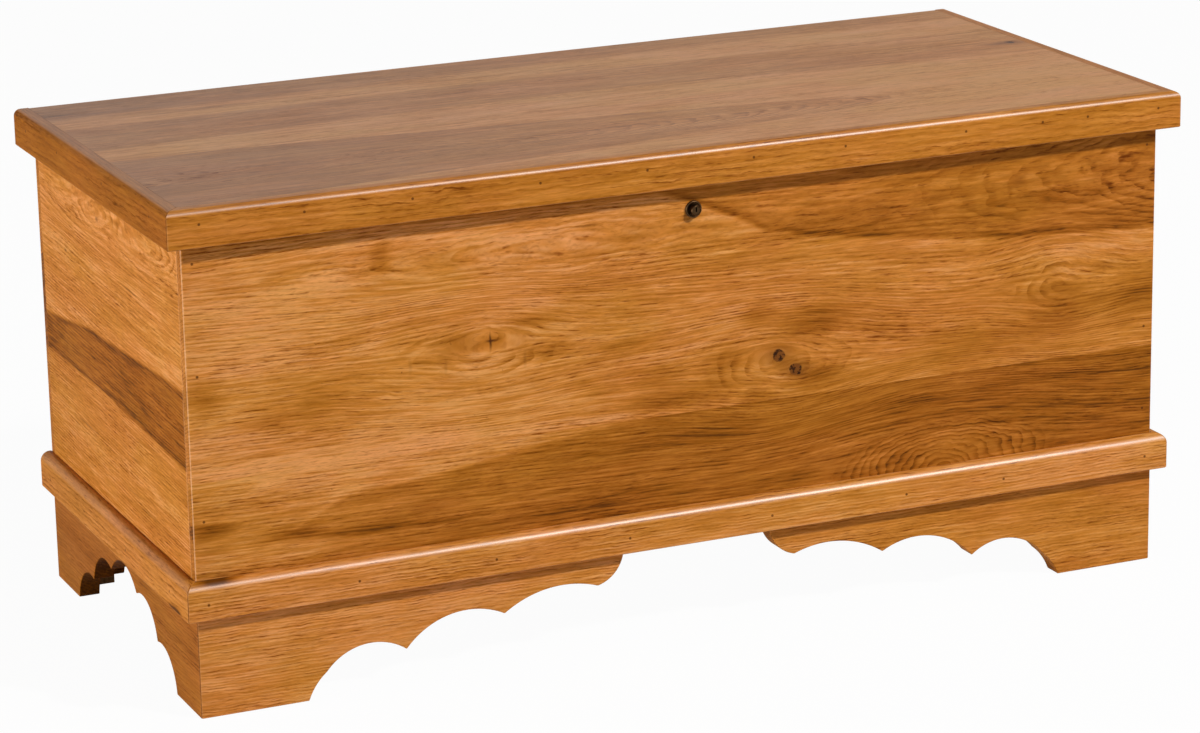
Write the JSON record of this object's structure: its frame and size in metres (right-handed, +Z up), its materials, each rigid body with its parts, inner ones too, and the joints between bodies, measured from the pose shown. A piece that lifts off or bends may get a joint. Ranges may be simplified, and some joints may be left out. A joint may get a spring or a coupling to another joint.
{
  "type": "blanket chest",
  "caption": "Hardwood blanket chest with a banded lift-up lid, scalloped bracket feet, base moulding and a push lock in the front.",
  "frame": {"origin": "on the floor, below the middle of the lid's outline", "axes": "+X to the chest's right end seen from the front, +Y from the front to the back, +Z up"},
  "size_m": [1.1024, 0.5036, 0.513],
  "materials": {
    "hickory": "satin lacquer over honey-stained, open-pored hardwood",
    "inner_wood": "plain sanded softwood, unfinished",
    "aged_brass": "antiqued, satin",
    "aged_bronze": "dark antique bronze, worn bright at the rim",
    "screw_steel": "zinc-plated",
    "bumper_rubber": "matt"
  },
  "bodies": {
    "carcase": {"front_panel": "hickory", "back_panel": "hickory", "side_panel_left": "hickory", "side_panel_right": "hickory", "front_foot_left": "hickory", "front_foot_right": "hickory", "side_apron_left": "hickory", "side_apron_right": "hickory", "back_foot_left": "hickory", "back_foot_right": "hickory", "base_moulding_front": "hickory", "base_moulding_left": "hickory", "base_moulding_right": "hickory", "bottom_panel": "inner_wood", "cleat_front": "inner_wood", "cleat_back": "inner_wood", "cleat_left": "inner_wood", "cleat_right": "inner_wood", "corner_block_front_left": "inner_wood", "corner_block_front_right": "inner_wood", "corner_block_back_left": "inner_wood", "corner_block_back_right": "inner_wood", "hinge_box_leaf_left": "aged_brass", "hinge_pin_left": "aged_brass", "hinge_box_leaf_right": "aged_brass", "hinge_pin_right": "aged_brass", "lock_barrel": "aged_bronze", "lock_end_cap": "aged_bronze", "lock_nut": "screw_steel", "lock_spring": "screw_steel", "hinge_box_screw_left_1": "screw_steel", "hinge_box_screw_left_2": "screw_steel", "hinge_box_screw_left_3": "screw_steel", "hinge_box_screw_right_1": "screw_steel", "hinge_box_screw_right_2": "screw_steel", "hinge_box_screw_right_3": "screw_steel", "bumper_left": "bumper_rubber", "bumper_right": "bumper_rubber"},
    "lid": {"lid_panel": "hickory", "lid_band_front": "hickory", "lid_band_left": "hickory", "lid_band_right": "hickory", "hinge_lid_leaf_left": "aged_brass", "hinge_lid_leaf_right": "aged_brass", "hinge_lid_screw_left_1": "screw_steel", "hinge_lid_screw_left_2": "screw_steel", "hinge_lid_screw_left_3": "screw_steel", "hinge_lid_screw_right_1": "screw_steel", "hinge_lid_screw_right_2": "screw_steel", "hinge_lid_screw_right_3": "screw_steel", "lock_strike": "aged_brass", "strike_screw_1": "screw_steel", "strike_screw_2": "screw_steel"},
    "lock_plunger": {"lock_plunger": "aged_bronze", "lock_bolt": "screw_steel"},
    "lock_key_plug": {"lock_key_plug": "aged_bronze"}
  },
  "joints": [
    {"name": "lid_hinge", "type": "hinge", "parent": "carcase", "child": "lid", "pos_m": [0, 0.24783, 0.49], "axis": [-1, 0, 0], "range_deg": [0, 95]},
    {"name": "lock_push", "type": "slide", "parent": "carcase", "child": "lock_plunger", "axis": [0, 1, 0], "range_m": [0, 0.0075], "stiffness_N_per_m": 400, "springref_m": -0.004, "deforming": ["lock_spring"]},
    {"name": "key_turn", "type": "hinge", "parent": "lock_plunger", "child": "lock_key_plug", "pos_m": [0, -0.23417, 0.4483], "axis": [0, 1, 0], "range_deg": [0, 90]}
  ]
}
